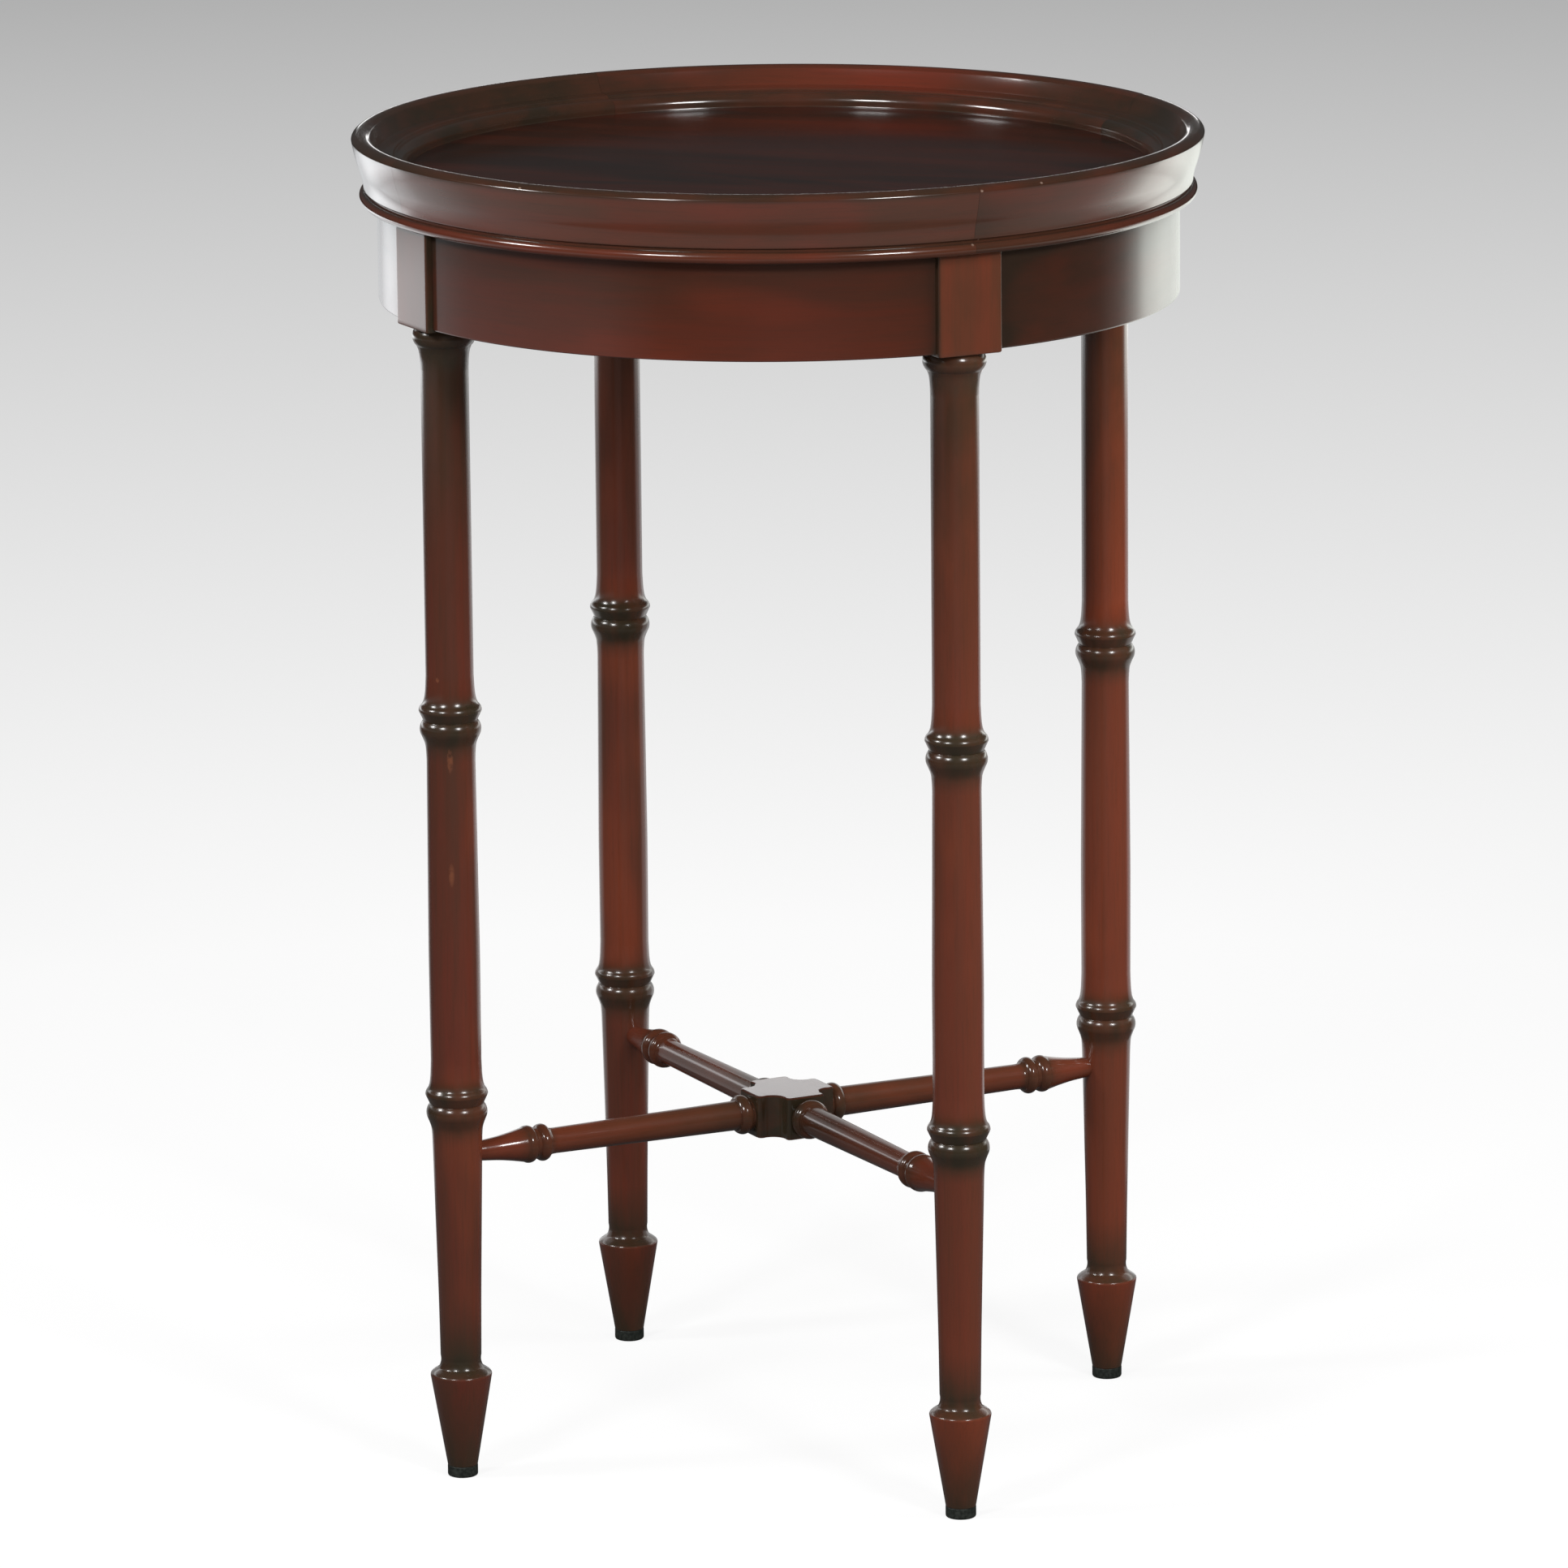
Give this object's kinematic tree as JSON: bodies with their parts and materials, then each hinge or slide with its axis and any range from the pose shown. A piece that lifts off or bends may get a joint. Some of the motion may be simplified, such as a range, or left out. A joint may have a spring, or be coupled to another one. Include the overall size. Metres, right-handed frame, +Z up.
{
  "type": "round accent table",
  "caption": "Small round side table with a moulded tray top, curved apron, ringed turned legs and a turned cross stretcher.",
  "frame": {"origin": "on the floor, at the middle of the circle that the legs stand on", "axes": "+Z up along the table's axis; the front is -Y, and the legs stand on the diagonals between X and Y"},
  "size_m": [0.4174, 0.4174, 0.66],
  "materials": {
    "leg_mahogany": "semi-gloss red-brown lacquer over a dark glaze",
    "apron_mahogany": "semi-gloss red-brown lacquer",
    "rim_mahogany": "semi-gloss red-brown lacquer",
    "stretcher_mahogany": "semi-gloss red-brown lacquer",
    "tray_veneer": "very dark brown lacquered veneer",
    "bare_wood": "unfinished hardwood",
    "dowel_beech": "unfinished beech",
    "glide_plastic": "hard dark plastic",
    "zinc_steel": "zinc plated"
  },
  "bodies": {
    "root": {"leg_front_left": "leg_mahogany", "leg_front_right": "leg_mahogany", "leg_back_right": "leg_mahogany", "leg_back_left": "leg_mahogany", "foot_glide_front_left": "glide_plastic", "foot_glide_front_right": "glide_plastic", "foot_glide_back_right": "glide_plastic", "foot_glide_back_left": "glide_plastic", "corner_block_front_left": "bare_wood", "corner_block_front_right": "bare_wood", "corner_block_back_right": "bare_wood", "corner_block_back_left": "bare_wood", "stretcher_spindle_front_left": "stretcher_mahogany", "stretcher_spindle_front_right": "stretcher_mahogany", "stretcher_spindle_back_right": "stretcher_mahogany", "stretcher_spindle_back_left": "stretcher_mahogany", "apron_segment_front": "apron_mahogany", "apron_segment_right": "apron_mahogany", "apron_segment_back": "apron_mahogany", "apron_segment_left": "apron_mahogany", "rim_segment_front": "rim_mahogany", "rim_segment_right": "rim_mahogany", "rim_segment_back": "rim_mahogany", "rim_segment_left": "rim_mahogany", "stretcher_hub": "stretcher_mahogany", "tray_panel": "tray_veneer", "apron_dowels": "dowel_beech", "rim_dowels": "dowel_beech", "hanger_bolts": "zinc_steel", "hanger_bolt_washers": "zinc_steel", "hanger_bolt_nuts": "zinc_steel", "corner_block_screws": "zinc_steel", "top_screws": "zinc_steel", "glide_nails": "zinc_steel"}
  },
  "joints": []
}
